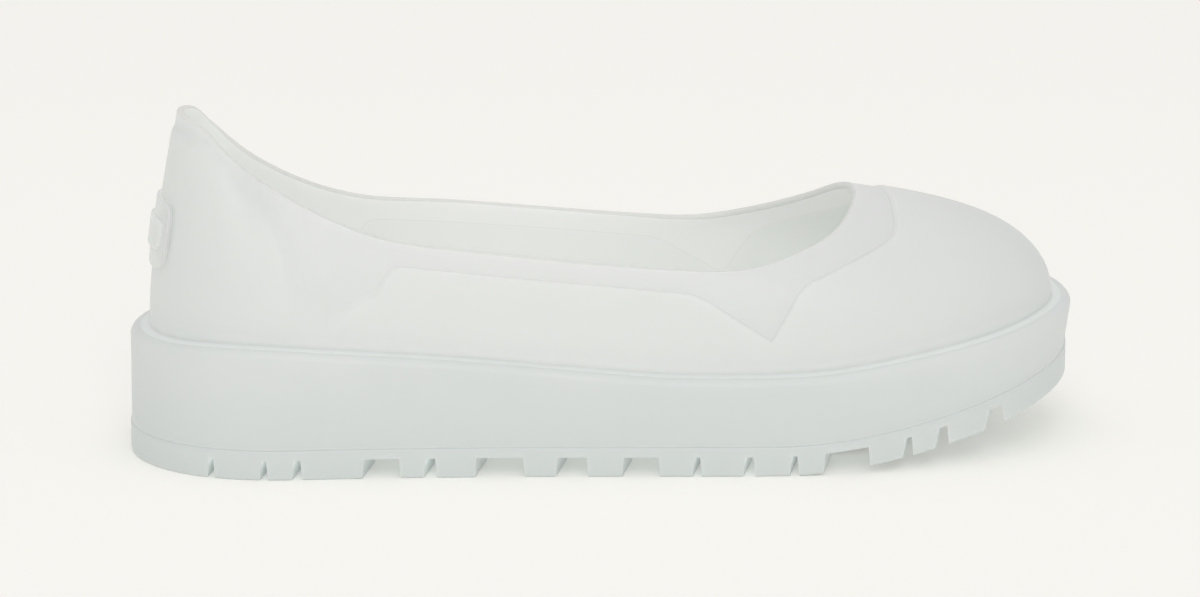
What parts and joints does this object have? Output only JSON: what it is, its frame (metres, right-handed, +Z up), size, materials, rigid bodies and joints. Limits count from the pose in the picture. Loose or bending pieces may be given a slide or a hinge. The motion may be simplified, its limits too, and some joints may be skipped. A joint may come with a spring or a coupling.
{
  "type": "rubber overshoe",
  "caption": "Low translucent rubber overshoe for the right foot, with a hollow pull-on upper, thick cupped sole, rounded lip and lugged tread.",
  "frame": {"origin": "middle of the shoe's outline in plan, on the floor that the tread stands on", "axes": "+X runs along the foot to the toe, -Y is the outer side of the right foot, +Z is up out of the collar"},
  "size_m": [0.2884, 0.1176, 0.1047],
  "materials": {
    "outsole": "milky translucent, satin",
    "sole_cup": "milky translucent, satin",
    "upper": "milky translucent, satin",
    "heel_badge": "milky translucent, satin"
  },
  "bodies": {
    "root": {"outsole": "outsole", "sole_cup": "sole_cup", "upper": "upper", "heel_badge": "heel_badge"}
  },
  "joints": []
}
